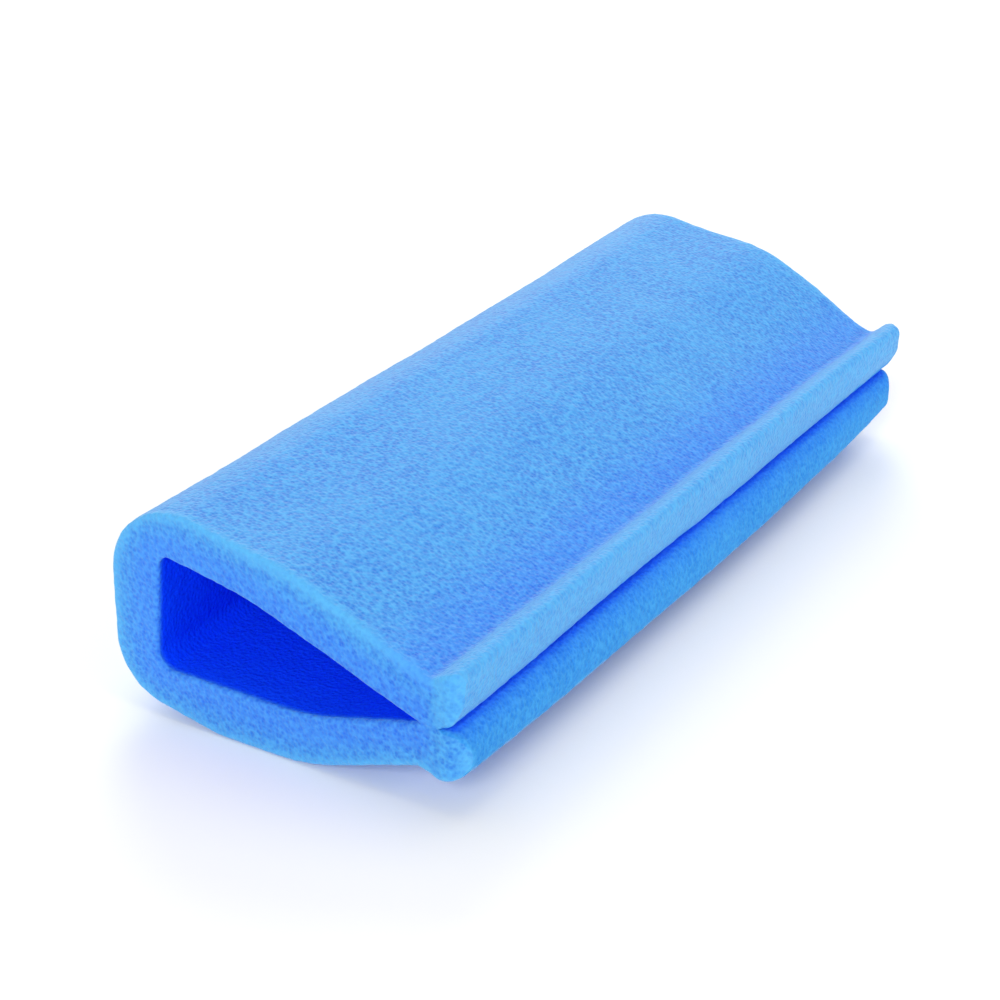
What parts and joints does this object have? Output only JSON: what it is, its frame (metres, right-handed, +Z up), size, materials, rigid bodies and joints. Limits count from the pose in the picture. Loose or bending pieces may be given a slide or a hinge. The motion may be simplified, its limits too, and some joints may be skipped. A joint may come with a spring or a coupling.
{
  "type": "foam filter sleeve",
  "caption": "Open-ended sleeve of open-cell filter foam, one sheet folded into a teardrop tube and bonded in a fin seam along its edges.",
  "frame": {"origin": "middle of the sleeve's outline in X and Y, on the flat it rests on", "axes": "+X from the fold to the bonded seam, +Y along the sleeve away from the nearer end, +Z up"},
  "size_m": [0.094, 0.23, 0.054],
  "materials": {
    "foam": "matt open-cell polyurethane foam, about 20 pores per inch",
    "adhesive": "satin, translucent hot-melt adhesive tinted by the foam"
  },
  "bodies": {
    "lower_side": {"lower_wall": "foam", "lower_lip": "foam", "seam_bead": "adhesive", "fold_wall": "foam"},
    "upper_side": {"upper_wall": "foam", "upper_lip": "foam"}
  },
  "joints": [
    {"name": "seam_flex", "type": "hinge", "parent": "lower_side", "child": "upper_side", "pos_m": [0.0385, 0, 0.021], "axis": [0, 1, 0], "range_deg": [-16, 10], "stiffness_Nm_per_rad": 0.6, "deforming": ["fold_wall"]}
  ]
}
